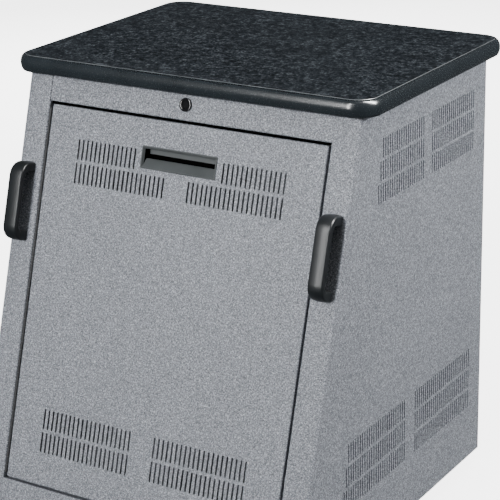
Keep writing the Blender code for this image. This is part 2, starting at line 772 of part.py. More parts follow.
def make_rail(name, side, face_y, into):
    """An upright equipment rail: a drilled face towards the door and a leg beside the cabinet's wall."""
    low, high = FLOOR_PAN_TOP + CLEARANCE, UNDERSIDE - CLEARANCE - SHEET - CLEARANCE
    inner, outer = side * RAIL_INNER, side * (RAIL_INNER + RAIL_WIDTH)
    corner_line = [(inner, face_y), (outer, face_y), (outer, face_y + into * RAIL_WIDTH)]
    stations = [((x, y, high), (x, y, low)) for x, y in corner_line]
    if side * into < 0:
        stations.reverse()
    folded(name, stations, ZINC, radius=RAIL_BEND_RADIUS, thickness=RAIL_SHEET)


def make_inside():
    for side_name, side in (("left", -1), ("right", 1)):
        make_rail(f"front_{side_name}_rail", side, RAIL_FRONT_Y, 1)
        make_rail(f"rear_{side_name}_rail", side, RAIL_REAR_Y, -1)
    half = RAIL_INNER - CLEARANCE
    low = (-half, RAIL_FRONT_Y + SHELF_INSET, SHELF_HEIGHT - SHELF_FLANGE)
    sheet_pan("equipment_shelf", low, (half, RAIL_REAR_Y - SHELF_INSET, SHELF_HEIGHT), PAINT)


def fork_leg(name, x):
    """One cheek of a caster fork, from the swivel head down to the axle."""
    outline = [(-FORK_FRONT, FORK_TOP), (-FORK_FRONT, FORK_TOP - 0.014)]
    outline += arc((CASTER_TRAIL, WHEEL_RADIUS), FORK_END_RADIUS, 215, 380, 7)
    outline += [(FORK_REAR, FORK_TOP - 0.006), (FORK_REAR, FORK_TOP)]
    stand_up = Matrix(((0, 0, 1, x), (1, 0, 0, 0), (0, 1, 0, 0), (0, 0, 0, 1)))
    return slab(name, outline, FORK_SHEET, stand_up)


def make_caster(name, x, y):
    """A plate caster: the fork swivels under the plate and its wheel trails behind the pivot."""
    pivot = new_empty(name + "_pivot", (x, y, 0))
    plate_block = block(
        "plate",
        (-CASTER_PLATE_HALF_WIDTH, -CASTER_PLATE_HALF_DEPTH, PLATE_BOTTOM),
        (CASTER_PLATE_HALF_WIDTH, CASTER_PLATE_HALF_DEPTH, PLATE_TOP),
    )
    plate = add_part(name + "_plate", plate_block, ZINC, pivot)
    hole_radius = KINGPIN_RADIUS + 2 * CLEARANCE
    plate_hole = rod("hole", hole_radius, (0, 0, PLATE_BOTTOM - 0.01), (0, 0, PLATE_TOP + 0.01), 12)
    add_boolean(plate, add_cutter(name + "_plate_hole", plate_hole, plate), "DIFFERENCE")

    outer = FORK_INNER + FORK_SHEET
    low, high = (-outer, -FORK_FRONT, FORK_TOP - FORK_SHEET), (outer, FORK_REAR, FORK_TOP)
    bridge = block("bridge", low, high)
    fork = add_part(name + "_fork", bridge, ZINC, pivot)
    for cheek, side in (("left", -1), ("right", 1)):
        leg = fork_leg("leg", side * (FORK_INNER + FORK_SHEET / 2))
        add_boolean(fork, add_cutter(f"{name}_{cheek}_leg", leg, fork), "UNION")
    swivel = rod("swivel", SWIVEL_RADIUS, (0, 0, FORK_TOP - 0.001), (0, 0, SWIVEL_TOP), 20)
    add_boolean(fork, add_cutter(name + "_swivel", swivel, fork), "UNION")
    kingpin_top = PLATE_TOP - CLEARANCE
    kingpin = rod("kingpin", KINGPIN_RADIUS, (0, 0, FORK_TOP), (0, 0, kingpin_top), 12)
    add_boolean(fork, add_cutter(name + "_kingpin", kingpin, fork), "UNION")
    hub = (CASTER_TRAIL, WHEEL_RADIUS)
    axle_hole = rod("axle_hole", AXLE_RADIUS + CLEARANCE, (-0.03, *hub), (0.03, *hub), 12)
    add_boolean(fork, add_cutter(name + "_axle_hole", axle_hole, fork), "DIFFERENCE")

    turn_to_x = (0, math.pi / 2, 0)
    seat = outer + CLEARANCE
    end = seat + AXLE_HEAD
    axle_profile = [
        (0.0, end),
        (AXLE_HEAD_RADIUS, end),
        (AXLE_HEAD_RADIUS, seat),
        (AXLE_RADIUS, seat),
        (AXLE_RADIUS, -seat),
        (AXLE_HEAD_RADIUS, -seat),
        (AXLE_HEAD_RADIUS, -end),
        (0.0, -end),
    ]
    turned(name + "_axle", axle_profile, ZINC, pivot, steps=12, location=(0, *hub), rotation=turn_to_x)

    half = WHEEL_HALF_WIDTH
    bore = AXLE_RADIUS + CLEARANCE
    one_side = [
        (bore, half + 0.001),
        (0.011, half + 0.001),
        (0.013, half - 0.004),
        (0.028, half - 0.004),
        (0.030, half),
        (WHEEL_RADIUS - 0.004, half),
        (WHEEL_RADIUS, half - 0.004),
    ]
    wheel_profile = one_side + [(radius, -across) for radius, across in reversed(one_side)]
    turned(
        name + "_wheel",
        wheel_profile,
        TYRE_RUBBER,
        pivot,
        closed=True,
        location=(0, *hub),
        rotation=turn_to_x,
    )


def make_casters():
    for end_name, y in (("front", CASTER_FRONT_Y), ("rear", CASTER_REAR_Y)):
        for side_name, side in (("left", -1), ("right", 1)):
            make_caster(f"caster_{end_name}_{side_name}", side * CASTER_ACROSS, y)


def shade_round_parts():
    for part in PARTS.objects:
        if part.type == "MESH":
            part.data.shade_smooth()
            part.data.set_sharp_from_angle(angle=math.radians(30))


make_worktop()
SIDES = make_cabinet()
make_door("front_door", FRONT_FACE, FRONT_SILL_TOP - DOOR_BOTTOM_GAP, twin_rows=True)
make_door("rear_door", REAR_FACE, REAR_SILL_TOP - DOOR_BOTTOM_GAP, twin_rows=False)
make_lock("front", FRONT_FACE)
make_lock("rear", REAR_FACE)
make_handle("left", -1, SIDES[-1])
make_handle("right", 1, SIDES[1])
make_inside()
make_casters()
shade_round_parts()
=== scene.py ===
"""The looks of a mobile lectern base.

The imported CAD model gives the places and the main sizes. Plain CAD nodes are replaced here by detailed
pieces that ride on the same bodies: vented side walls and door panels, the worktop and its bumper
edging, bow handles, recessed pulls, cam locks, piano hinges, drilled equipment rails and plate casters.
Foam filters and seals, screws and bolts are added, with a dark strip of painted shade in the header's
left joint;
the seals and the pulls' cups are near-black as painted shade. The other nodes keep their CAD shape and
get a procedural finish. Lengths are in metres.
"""

import json
import math

import bmesh
import bpy
from mathutils import Matrix, Vector


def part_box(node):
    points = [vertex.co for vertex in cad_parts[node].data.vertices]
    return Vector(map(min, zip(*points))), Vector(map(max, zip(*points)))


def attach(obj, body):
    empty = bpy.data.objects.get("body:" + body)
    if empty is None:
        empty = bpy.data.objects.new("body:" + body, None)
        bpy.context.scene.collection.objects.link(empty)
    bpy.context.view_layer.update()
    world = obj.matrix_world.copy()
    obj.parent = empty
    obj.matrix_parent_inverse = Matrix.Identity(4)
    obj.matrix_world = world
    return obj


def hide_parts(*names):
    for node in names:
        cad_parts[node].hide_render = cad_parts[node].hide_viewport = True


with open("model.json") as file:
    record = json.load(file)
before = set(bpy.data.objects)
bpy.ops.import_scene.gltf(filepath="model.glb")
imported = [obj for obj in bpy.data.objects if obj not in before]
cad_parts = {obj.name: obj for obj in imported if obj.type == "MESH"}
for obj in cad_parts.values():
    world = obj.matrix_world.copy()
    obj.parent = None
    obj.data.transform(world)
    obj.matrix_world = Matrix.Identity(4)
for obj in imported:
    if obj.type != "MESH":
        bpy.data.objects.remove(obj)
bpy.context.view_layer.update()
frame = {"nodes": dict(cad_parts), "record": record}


def box_of(node):
    low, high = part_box(node)
    return low, high, (low + high) / 2


# Sheet metal
SHEET = 0.0015
BEND = 0.003
RIM_BEND = 0.0022
FRONT_SLOPE = math.radians(17.2)
STILE_WIDTH = 0.045
STILE_RETURN = 0.015
FLANGE_DEPTH = 0.018
SMALL_GAP = 0.0003

# Distances down a face from the worktop's underside
HEADER_TOP = 0.0006
HEADER_BOTTOM = 0.0450
DOOR_TOP = 0.0496
FRONT_SILL_TOP = 0.668
REAR_SILL_TOP = 0.638
DOOR_SILL_GAP = 0.004

# Vent slots
SLOT_WIDTH = 0.0030
SLOT_LENGTH = 0.033
DOOR_SLOT_PITCH = 0.0084
DOOR_ROW_PITCH = 0.038
DOOR_FIRST_SLOT = 0.0235
DOOR_FIRST_ROW = 0.1155
DOOR_LOWEST_ROW_UP = 0.0705
SLOTS_IN_DOOR_ROW = 21
SLOTS_BESIDE_PULL = 14
SIDE_SLOT_WIDTH = 0.0025
SIDE_SLOT_PITCH = 0.0074

# The side vents: how far down their rows lie, and each block's rear end, rows, slot length and counts
TOP_ROWS = (0.0645, 0.0998, 0.1353)
LOW_ROWS = (0.5235, 0.5615, 0.5998)
TOP_SLOT_LENGTH = 0.0315
LOW_SLOT_LENGTH = 0.0335
VENT_BLOCKS = (
    (0.0820, TOP_ROWS, TOP_SLOT_LENGTH, (19, 20, 21)),
    (0.2610, TOP_ROWS, TOP_SLOT_LENGTH, (21, 21, 21)),
    (0.0230, LOW_ROWS, LOW_SLOT_LENGTH, (26, 27, 28)),
    (0.2610, LOW_ROWS, LOW_SLOT_LENGTH, (28, 28, 28)),
)

# Each vent block's filter, before its lap: its rear and front ends along Y, and its top and bottom
VENT_FILTERS = (
    (0.0820, -0.0660, 0.0487, 0.1511),
    (0.2610, 0.1130, 0.0487, 0.1511),
    (0.0230, -0.1768, 0.5068, 0.6166),
    (0.2610, 0.0612, 0.5068, 0.6166),
)
FILTER_LAP = 0.006
FILTER_THICKNESS = 0.004

# Worktop
WORKTOP_CORNER = 0.040

# Recessed pull
PULL_DOWN = 0.110
PULL_HEIGHT = 0.036
PULL_FRAME = 0.0025
PULL_NECK = 0.003
PULL_WALL = 0.0016
PULL_PROUD = 0.0015
PULL_BACK = 0.0155
PULL_FLOOR = 0.0234

# Cam lock
LOCK_DOWN = 0.0205
LOCK_BARREL = 0.0095

# Piano hinge
HINGE_GAP = 0.0068
HINGE_END_GAP = 0.006
KNUCKLE_RADIUS = 0.0024
KNUCKLE_LENGTH = 0.0127
LEAF_THICKNESS = 0.0012
LEAF_WIDTH = 0.010

# Bow handle
HANDLE_DOWN = 0.2120
HANDLE_LENGTH = 0.128
HANDLE_HEIGHT = 0.036
HANDLE_LEG = 0.016
HANDLE_GRIP = 0.010

# Places that the CAD nodes give
SIDE_LOW, SIDE_HIGH, _ = box_of("right_side_panel")
BODY_HALF = SIDE_HIGH.x
UNDERSIDE = SIDE_HIGH.z + SMALL_GAP
SKIRT = SIDE_LOW.z
REAR_Y = SIDE_HIGH.y
FRONT_TOP_Y = SIDE_LOW.y + (UNDERSIDE - SKIRT) * math.tan(FRONT_SLOPE)
OPENING_HALF = BODY_HALF - STILE_WIDTH

# On both faces local X runs across, local Y up along the face and local Z out of it
FRONT_FACE = Matrix.Translation((0, FRONT_TOP_Y, UNDERSIDE)) @ Matrix.Rotation(
    math.pi / 2 - FRONT_SLOPE, 4, "X"
)
REAR_FACE = Matrix.Translation((0, REAR_Y, UNDERSIDE)) @ Matrix(
    ((-1, 0, 0, 0), (0, 0, 1, 0), (0, 1, 0, 0), (0, 0, 0, 1))
)


# Camera, light and floor

def add_camera():
    data = bpy.data.cameras.new("camera")
    data.lens = 129.6
    data.sensor_width = 36.0
    data.clip_end = 100.0
    data.dof.use_dof = False
    camera = bpy.data.objects.new("camera", data)
    bpy.context.scene.collection.objects.link(camera)
    turn, tilt, roll = math.radians(32.43), math.radians(19.94), math.radians(-1.396)
    camera.matrix_world = (
        Matrix.Translation((1.5145, -2.3330, 1.4452))
        @ Matrix.Rotation(turn, 4, "Z")
        @ Matrix.Rotation(math.pi / 2 - tilt, 4, "X")
        @ Matrix.Rotation(roll, 4, "Z")
    )
    bpy.context.scene.camera = camera


def add_area_light(name, place, target, size, power, seen_in):
    """An area light; seen_in says whether it is for diffuse light or for gloss."""
    data = bpy.data.lights.new(name, "AREA")
    data.shape = "ELLIPSE"
    data.size, data.size_y = size
    data.energy = power
    light = bpy.data.objects.new(name, data)
    bpy.context.scene.collection.objects.link(light)
    light.location = place
    away = Vector(place) - Vector(target)
    light.rotation_euler = away.to_track_quat("Z", "Y").to_euler()
    light.visible_glossy = seen_in != "diffuse"
    light.visible_diffuse = seen_in != "gloss"


def add_studio():
    world = bpy.data.worlds.new("studio")
    world.use_nodes = True
    sky = world.node_tree.nodes["Background"]
    sky.inputs["Color"].default_value = (0.94, 0.97, 1.0, 1.0)
    sky.inputs["Strength"].default_value = 0.12
    bpy.context.scene.world = world
    middle = (0.0, 0.0, 0.45)
    corner = (0.3, -0.1, 0.75)
    # The diffuse lights level the faces, and the gloss lights set the highlights on the worktop's corner
    lights = (
        ("key", (-0.3, -3.3, 1.8), middle, (0.7, 0.7), 157.0, "diffuse"),
        ("side", (3.2, 0.9, 1.9), middle, (0.8, 0.8), 180.0, "diffuse"),
        ("overhead", (0.1, -0.7, 2.9), middle, (1.2, 1.2), 20.0, "diffuse"),
        ("back", (-2.0, 2.9, 1.5), middle, (1.2, 1.2), 85.0, "diffuse"),
        ("left_gloss", (-0.58, -2.75, 1.8), corner, (0.42, 2.6), 165.0, "gloss"),
        ("right_gloss", (1.85, 0.35, 2.70), corner, (0.7, 2.6), 650.0, "gloss"),
    )
    for light in lights:
        add_area_light(*light)


# Materials

class Finish:
    """A node material under construction, with object coordinates to hang its textures on."""

    def __init__(self, name):
        self.material = bpy.data.materials.new(name)
        self.material.use_nodes = True
        self.tree = self.material.node_tree
        self.shader = self.tree.nodes["Principled BSDF"]
        self.where = self.tree.nodes.new("ShaderNodeTexCoord").outputs["Object"]

    def set(self, **values):
        for name, value in values.items():
            self.shader.inputs[name.replace("_", " ")].default_value = value

    def link(self, value, socket):
        self.tree.links.new(value, self.shader.inputs[socket])

    def noise(self, scale, detail=2.0, roughness=0.5, stretch=None):
        node = self.tree.nodes.new("ShaderNodeTexNoise")
        node.inputs["Scale"].default_value = scale
        node.inputs["Detail"].default_value = detail
        node.inputs["Roughness"].default_value = roughness
        self.tree.links.new(self.stretched(stretch), node.inputs["Vector"])
        return node.outputs[0]

    def stretched(self, stretch):
        if stretch is None:
            return self.where
        node = self.tree.nodes.new("ShaderNodeMapping")
        node.inputs["Scale"].default_value = stretch
        self.tree.links.new(self.where, node.inputs["Vector"])
        return node.outputs["Vector"]

    def ramp(self, value, *stops):
        """Colours or grey levels along a value, as (position, colour) pairs."""
        node = self.tree.nodes.new("ShaderNodeValToRGB")
        elements = node.color_ramp.elements
        while len(elements) < len(stops):
            elements.new(0.5)
        for element, (position, colour) in zip(elements, stops):
            level = colour if isinstance(colour, tuple) else (colour, colour, colour)
            element.position = position
            element.color = (*level, 1.0)
        self.tree.links.new(value, node.inputs["Fac"])
        return node.outputs["Color"]

    def blend(self, mode, amount, first, second):
        node = self.tree.nodes.new("ShaderNodeMix")
        node.data_type = "RGBA"
        node.blend_type = mode
        if isinstance(amount, float):
            node.inputs[0].default_value = amount
        else:
            self.tree.links.new(amount, node.inputs[0])
        for value, socket in ((first, node.inputs[6]), (second, node.inputs[7])):
            if isinstance(value, tuple):
                socket.default_value = (*value, 1.0)
            else:
                self.tree.links.new(value, socket)
        return node.outputs[2]

    def bump(self, height, strength, distance):
        node = self.tree.nodes.new("ShaderNodeBump")
        node.inputs["Strength"].default_value = strength
        node.inputs["Distance"].default_value = distance
        self.tree.links.new(height, node.inputs["Height"])
        self.link(node.outputs["Normal"], "Normal")


def powder_coat():
    """Grey powder coat: a pebbled skin with fine darker and lighter speckles."""
    made = Finish("powder_coat")
    coarse = made.noise(480.0, 3.0, 0.7)
    fine = made.noise(1400.0, 2.0, 0.6)
    cloud = made.noise(7.0, 2.0)
    speckle = made.blend("MIX", 0.25, coarse, fine)
    grey = made.ramp(
        speckle,
        (0.32, (0.020, 0.022, 0.027)),
        (0.45, (0.120, 0.129, 0.147)),
        (0.55, (0.240, 0.254, 0.284)),
        (0.68, (0.640, 0.668, 0.716)),
    )
    shade = made.ramp(cloud, (0.3, 0.94), (0.7, 1.0))
    made.link(made.blend("MULTIPLY", 1.0, grey, shade), "Base Color")
    made.link(made.ramp(fine, (0.3, 0.50), (0.7, 0.68)), "Roughness")
    made.bump(speckle, 0.45, 0.0003)
    made.set(Specular_IOR_Level=0.35)
    return made.material


def laminate():
    """Charcoal granite-pattern laminate: dark mottling with scattered pale flecks."""
    made = Finish("charcoal_laminate")
    mottle = made.noise(250.0, 4.0, 0.75)
    patches = made.noise(110.0, 3.0, 0.6)
    broad = made.noise(9.0, 2.0, 0.5)
    flecks = made.noise(300.0, 2.0, 0.5)
    grain = made.blend("MIX", 0.40, mottle, patches)
    ground = made.ramp(
        grain,
        (0.39, (0.0016, 0.0022, 0.0030)),
        (0.47, (0.0095, 0.0122, 0.0153)),
        (0.54, (0.0290, 0.0350, 0.0415)),
        (0.63, (0.1250, 0.1390, 0.1540)),
    )
    shade = made.ramp(broad, (0.3, 0.75), (0.7, 1.0))
    ground = made.blend("MULTIPLY", 1.0, ground, shade)
    pale = made.ramp(flecks, (0.70, 0.0), (0.78, 0.8))
    made.link(made.blend("MIX", pale, ground, (0.20, 0.21, 0.22)), "Base Color")
    made.link(made.ramp(mottle, (0.3, 0.50), (0.7, 0.62)), "Roughness")
    made.bump(made.noise(900.0, 2.0), 0.10, 0.0001)
    made.set(Specular_IOR_Level=0.02)
    return made.material


def moulded(name, dark, light, smoothness, grain, depth, shine=0.5):
    """Moulded plastic with a fine spark-eroded grain."""
    made = Finish(name)
    broad = made.noise(18.0, 3.0, 0.6)
    pores = made.noise(grain, 2.0, 0.6)
    made.link(made.ramp(broad, (0.3, dark), (0.7, light)), "Base Color")
    made.link(made.ramp(pores, (0.3, smoothness - 0.05), (0.7, smoothness + 0.07)), "Roughness")
    made.bump(pores, depth, 0.0001)
    made.set(Specular_IOR_Level=shine)
    return made.material


def plated(name, dark, light, smoothness, metallic):
    """Plated or blackened steel, with a cloudy tint and faint drawing marks."""
    made = Finish(name)
    cloud = made.noise(55.0, 4.0, 0.6)
    marks = made.noise(420.0, 3.0, 0.6, (1.0, 1.0, 0.12))
    tint = made.blend("MIX", 0.4, cloud, marks)
    made.link(made.ramp(tint, (0.3, dark), (0.7, light)), "Base Color")
    made.link(made.ramp(marks, (0.3, smoothness - 0.08), (0.7, smoothness + 0.10)), "Roughness")
    made.bump(marks, 0.12, 0.0001)
    made.set(Metallic=metallic)
    return made.material


def gloss_lacquer():
    """Gloss black lacquer with faint wipe marks."""
    made = Finish("gloss_black")
    wipe = made.noise(320.0, 3.0, 0.6, (1.0, 0.2, 1.0))
    made.link(made.ramp(wipe, (0.3, (0.004, 0.004, 0.005)), (0.7, (0.009, 0.009, 0.010))), "Base Color")
    made.link(made.ramp(wipe, (0.3, 0.07), (0.7, 0.16)), "Roughness")
    made.bump(wipe, 0.03, 0.0001)
    made.set(Coat_Weight=0.5)
    return made.material


def pale_floor():
    made = Finish("pale_floor")
    made.link(made.ramp(made.noise(2.0, 3.0), (0.3, 0.93), (0.7, 0.96)), "Base Color")
    made.set(Roughness=0.9, Specular_IOR_Level=0.1)
    made.set(Emission_Color=(1.0, 1.0, 1.0, 1.0), Emission_Strength=4.0)
    return made.material


PAINT = powder_coat()
LAMINATE = laminate()
EDGING = moulded("edging_vinyl", (0.011, 0.015, 0.018), (0.016, 0.021, 0.025), 0.22, 700.0, 0.03)
# Pale grey for the laminate's cut edge: partly its core's own colour, partly a painted highlight along
# the joint
CUT_EDGE_AND_HIGHLIGHT = moulded("laminate_core_and_highlight", (0.10, 0.11, 0.115), (0.14, 0.15, 0.155), 0.40, 900.0, 0.05)
HANDLE = moulded("handle_nylon", (0.007, 0.009, 0.010), (0.010, 0.012, 0.014), 0.36, 1500.0, 0.20, 0.30)
PULL = moulded("pull_plastic", (0.042, 0.048, 0.050), (0.060, 0.067, 0.069), 0.50, 1400.0, 0.20, 0.25)
# Near-black as painted shade: the pulls' cups, the seals in the door gaps and the strip in the header's
# left joint
SHADE_BLACK_DARK, SHADE_BLACK_LIGHT = (0.0008, 0.0008, 0.0008), (0.0016, 0.0016, 0.0016)
PAINTED_SHADE = moulded("painted_shade_black", SHADE_BLACK_DARK, SHADE_BLACK_LIGHT, 0.80, 1400.0, 0.10, 0.0)
ZINC = plated("zinc_plate", (0.42, 0.43, 0.44), (0.62, 0.62, 0.60), 0.34, 1.0)
DARK_STEEL = plated("blackened_steel", (0.010, 0.011, 0.012), (0.020, 0.022, 0.024), 0.55, 0.2)
GLOSS_BLACK = gloss_lacquer()
RUBBER = moulded("tyre_rubber", (0.012, 0.012, 0.013), (0.026, 0.026, 0.027), 0.72, 900.0, 0.35)
WHEEL_CORE = moulded("wheel_core_nylon", (0.10, 0.10, 0.105), (0.14, 0.14, 0.145), 0.45, 1200.0, 0.2)


# Mesh building

def arc(centre, radius, first, last, segments):
    """Points on an arc, from the first angle to the last, in degrees."""
    angles = [math.radians(first + (last - first) * i / segments) for i in range(segments + 1)]
    return [(centre[0] + radius * math.cos(a), centre[1] + radius * math.sin(a)) for a in angles]


def rounded_rectangle(width, height, radius, segments=6, centre=(0.0, 0.0)):
    across, along = width / 2 - radius, height / 2 - radius
    corners = ((across, along), (-across, along), (-across, -along), (across, -along))
    outline = []
    for number, (x, y) in enumerate(corners):
        middle = (centre[0] + x, centre[1] + y)
        outline += arc(middle, radius, 90 * number, 90 * number + 90, segments)
    return outline


def circle(centre, radius, segments=16):
    return arc(centre, radius, 0, 360 - 360 / segments, segments - 1)


def slot_outline(x, y, width=SLOT_WIDTH, length=SLOT_LENGTH):
    """A slot with round ends that runs along Y."""
    reach = length / 2 - width / 2
    return arc((x, y + reach), width / 2, 0, 180, 5) + arc((x, y - reach), width / 2, 180, 360, 5)


def add_rings(bm, rings, place=None, path_closed=False, caps=True, ring_closed=True):
    """Skins a row of rings, each the same number of points, and closes its ends."""
    place = place or Matrix()
    rows = [[bm.verts.new(place @ Vector(point)) for point in ring] for ring in rings]
    pairs = list(zip(rows, rows[1:]))
    if path_closed:
        pairs.append((rows[-1], rows[0]))
    count = len(rows[0])
    steps = count if ring_closed else count - 1
    for first, second in pairs:
        for i in range(steps):
            j = (i + 1) % count
            bm.faces.new((first[i], first[j], second[j], second[i]))
    if caps and not path_closed:
        bm.faces.new(rows[0][::-1])
        bm.faces.new(rows[-1])


def add_prism(bm, outline, low, high, place=None):
    """An outline in the XY plane, drawn up from low to high along Z."""
    add_rings(bm, [[(x, y, z) for x, y in outline] for z in (low, high)], place)


def add_turned(bm, profile, place=None, steps=32, closed=False):
    """A profile of (radius, height) points turned round Z."""
    place = place or Matrix()
    rows = []
    for step in range(steps):
        turn = Matrix.Rotation(2 * math.pi * step / steps, 4, "Z")
        rows.append([place @ turn @ Vector((radius, 0, height)) for radius, height in profile])
    add_rings(bm, rows, None, path_closed=True, ring_closed=closed)
    bmesh.ops.remove_doubles(bm, verts=bm.verts, dist=1e-7)


def add_box(bm, low, high, place=None, soft=0.0):
    """A block; soft rounds its four edges along Z."""
    centre = ((low[0] + high[0]) / 2, (low[1] + high[1]) / 2)
    radius = max(soft, 1e-5)
    outline = rounded_rectangle(high[0] - low[0], high[1] - low[1], radius, 3 if soft else 1, centre)
    add_prism(bm, outline, low[2], high[2], place)


def add_sheet(bm, outline, holes, thickness, place=None):
    """A flat sheet from z = -thickness to 0 with holes through it.

    The curve that fills it is drawn in millimetres, since its fill merges points that lie too close.
    """
    per_metre = 1000
    curve = bpy.data.curves.new("sheet", "CURVE")
    curve.dimensions = "2D"
    curve.fill_mode = "BOTH"
    curve.extrude = thickness / 2 * per_metre
    for points in (outline, *holes):
        spline = curve.splines.new("POLY")
        spline.points.add(len(points) - 1)
        for point, (x, y) in zip(spline.points, points):
            point.co = (x * per_metre, y * per_metre, 0, 1)
        spline.use_cyclic_u = True
    holder = bpy.data.objects.new("sheet", curve)
    mesh = bpy.data.meshes.new_from_object(holder)
    mesh.transform(Matrix.Translation((0, 0, -thickness / 2)) @ Matrix.Scale(1 / per_metre, 4))
    mesh.transform(place or Matrix())
    bm.from_mesh(mesh)
    bpy.data.objects.remove(holder)
    bpy.data.curves.remove(curve)
    bpy.data.meshes.remove(mesh)
    bmesh.ops.remove_doubles(bm, verts=bm.verts, dist=1e-6)


def finish_piece(bm, name, finish, body, replaced=(), sharp=32):
    """Turns a bmesh into a shown piece that rides on a body."""
    bmesh.ops.recalc_face_normals(bm, faces=bm.faces)
    mesh = bpy.data.meshes.new(name)
    bm.to_mesh(mesh)
    bm.free()
    mesh.materials.append(finish)
    mesh.shade_smooth()
    mesh.set_sharp_from_angle(angle=math.radians(sharp))
    piece = bpy.data.objects.new(name, mesh)
    bpy.context.scene.collection.objects.link(piece)
    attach(piece, body)
    if replaced:
        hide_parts(*replaced)
    return piece


# Worktop

def bumper_section(width, height, joint):
    """The edging's round nose as (inset, height) points, from the laminate joint to the underside."""
    widest, under = 0.47 * height, 0.0062
    steps = 12
    section = []
    for step in range(steps + 1):
        turn = math.radians(90 - 90 * step / steps)
        section.append((joint * (1 - math.cos(turn)), widest + (height - widest) * math.sin(turn)))
    for step in range(1, steps + 1):
        turn = math.radians(90 * step / steps)
        inset = under * (1 - math.cos(turn) ** 0.8)
        section.append((inset, widest * (1 - math.sin(turn) ** 1.25)))
    return section + [(width, 0.0), (width, height - 0.004)]


def make_worktop():
    low, high, middle = box_of("worktop_edging")
    board_low, board_high, _ = box_of("worktop_board")
    width, depth = high.x - low.x, high.y - low.y
    edging_width = board_low.x - low.x
    place = Matrix.Translation((middle.x, middle.y, 0))

    def ring(inset, z):
        radius = WORKTOP_CORNER - inset
        outline = rounded_rectangle(width - 2 * inset, depth - 2 * inset, radius, 16)
        return [(x, y, z) for x, y in outline]

    top, bottom, bevel = board_high.z, board_low.z, 0.0008
    bm = bmesh.new()
    inside = edging_width + bevel
    profile = [(edging_width + 0.0004, bottom), (edging_width + 0.0004, top - bevel), (inside, top)]
    add_rings(bm, [ring(inset, z) for inset, z in profile], place)
    finish_piece(bm, "laminate_board", LAMINATE, "cabinet", ["worktop_board"])

    # The laminate's cut edge, a pale line round the top: partly the core's own colour, partly a painted
    # highlight along the joint
    line = [(edging_width, top - 0.004), (edging_width, top - bevel - 0.0001)]
    line += [(inside, top), (inside, top - 0.0004), (edging_width + 0.0002, top - 0.004)]
    bm = bmesh.new()
    add_rings(bm, [ring(inset, z) for inset, z in line], place, path_closed=True)
    finish_piece(bm, "laminate_cut_edge_and_highlight", CUT_EDGE_AND_HIGHLIGHT, "cabinet")

    joint = edging_width - SMALL_GAP
    section = bumper_section(joint, high.z - low.z, joint)
    bm = bmesh.new()
    add_rings(bm, [ring(inset, low.z + z) for inset, z in section], place, path_closed=True)
    finish_piece(bm, "bumper_edging", EDGING, "cabinet", ["worktop_edging"], sharp=50)


# Cabinet walls

def fold_section(outer, inner, corner_in, back):
    """The closed section of a wall's edge: a stub of the wall, the bend, the stile and its return.

    X runs across and Z out of the face; the wall is at x = outer and the stile ends at x = inner.
    """
    side = 1 if outer > inner else -1
    tight = BEND - SHEET
    outside = [(outer, -BEND - corner_in)]
    outside += [(outer - side * (BEND - x), z - BEND) for x, z in arc((0, 0), BEND, 0, 90, 6)]
    outside += [(inner + side * (BEND - x), z - BEND) for x, z in arc((0, 0), BEND, 90, 0, 6)]
    outside += [(inner, -back)]
    inside = [(inner + side * SHEET, -back)]
    inside += [(inner + side * (BEND - x), z - BEND) for x, z in arc((0, 0), tight, 0, 90, 4)]
    inside += [(outer - side * (BEND - x), z - BEND) for x, z in arc((0, 0), tight, 90, 0, 4)]
    inside += [(outer - side * SHEET, -BEND - corner_in)]
    return outside + inside


def add_fold(bm, section, face, slope):
    """Runs a stile's section down a face, cut off level at the top and at the skirt."""
    rings = []
    for height in (UNDERSIDE - SMALL_GAP, SKIRT):
        fall = UNDERSIDE - height
        ring = [(x, (-fall - z * math.sin(slope)) / math.cos(slope), z) for x, z in section]
        rings.append([face @ Vector(point) for point in ring])
    add_rings(bm, rings)


def side_slots():
    """The side wall's vent slots: two blocks of three rows near the top and two near the skirt.

    Each block's rear end is straight; the front blocks follow the slope, a slot longer per row.
    """
    holes = []
    for rear_end, rows, length, counts in VENT_BLOCKS:
        for down, count in zip(rows, counts):
            for number in range(count):
                y = rear_end - number * SIDE_SLOT_PITCH
                holes.append(slot_outline(y, UNDERSIDE - down, SIDE_SLOT_WIDTH, length))
    return holes


def make_side_wall(side_name, side):
    """A folded wall: its slotted sheet, and the stiles that it turns round into at the front and rear."""
    stub = 0.002
    outer, inner = side * BODY_HALF, side * OPENING_HALF
    bm = bmesh.new()
    front = fold_section(outer, inner, stub, STILE_RETURN)
    add_fold(bm, front, FRONT_FACE, FRONT_SLOPE)
    add_fold(bm, fold_section(-outer, -inner, stub, STILE_RETURN), REAR_FACE, 0.0)
    top = UNDERSIDE - SMALL_GAP
    setback = (BEND + stub) / math.cos(FRONT_SLOPE)
    drop = math.tan(FRONT_SLOPE)
    outline = [
        (REAR_Y - BEND - stub, SKIRT),
        (REAR_Y - BEND - stub, top),
        (FRONT_TOP_Y + setback - (UNDERSIDE - top) * drop, top),
        (FRONT_TOP_Y + setback - (UNDERSIDE - SKIRT) * drop, SKIRT),
    ]
    upright = Matrix(((0, 0, side, outer), (1, 0, 0, 0), (0, 1, 0, 0), (0, 0, 0, 1)))
    add_sheet(bm, outline, side_slots(), SHEET, upright)
    finish_piece(bm, side_name + "_side_wall", PAINT, "cabinet", [side_name + "_side_panel"])


def make_vent_filters(side_name, side):
    """Black foam filters inside a side wall, one behind each block of vents."""
    x = side * (BODY_HALF - SHEET - SMALL_GAP)
    upright = Matrix(((0, 0, side, x), (1, 0, 0, 0), (0, 1, 0, 0), (0, 0, 0, 1)))
    bm = bmesh.new()
    for rear_end, front_end, top, bottom in VENT_FILTERS:
        low = (front_end - FILTER_LAP, UNDERSIDE - bottom - FILTER_LAP, -FILTER_THICKNESS)
        high = (rear_end + FILTER_LAP, UNDERSIDE - top + FILTER_LAP, 0.0)
        add_box(bm, low, high, upright, 0.003)
    finish_piece(bm, side_name + "_vent_filters", RUBBER, "cabinet")


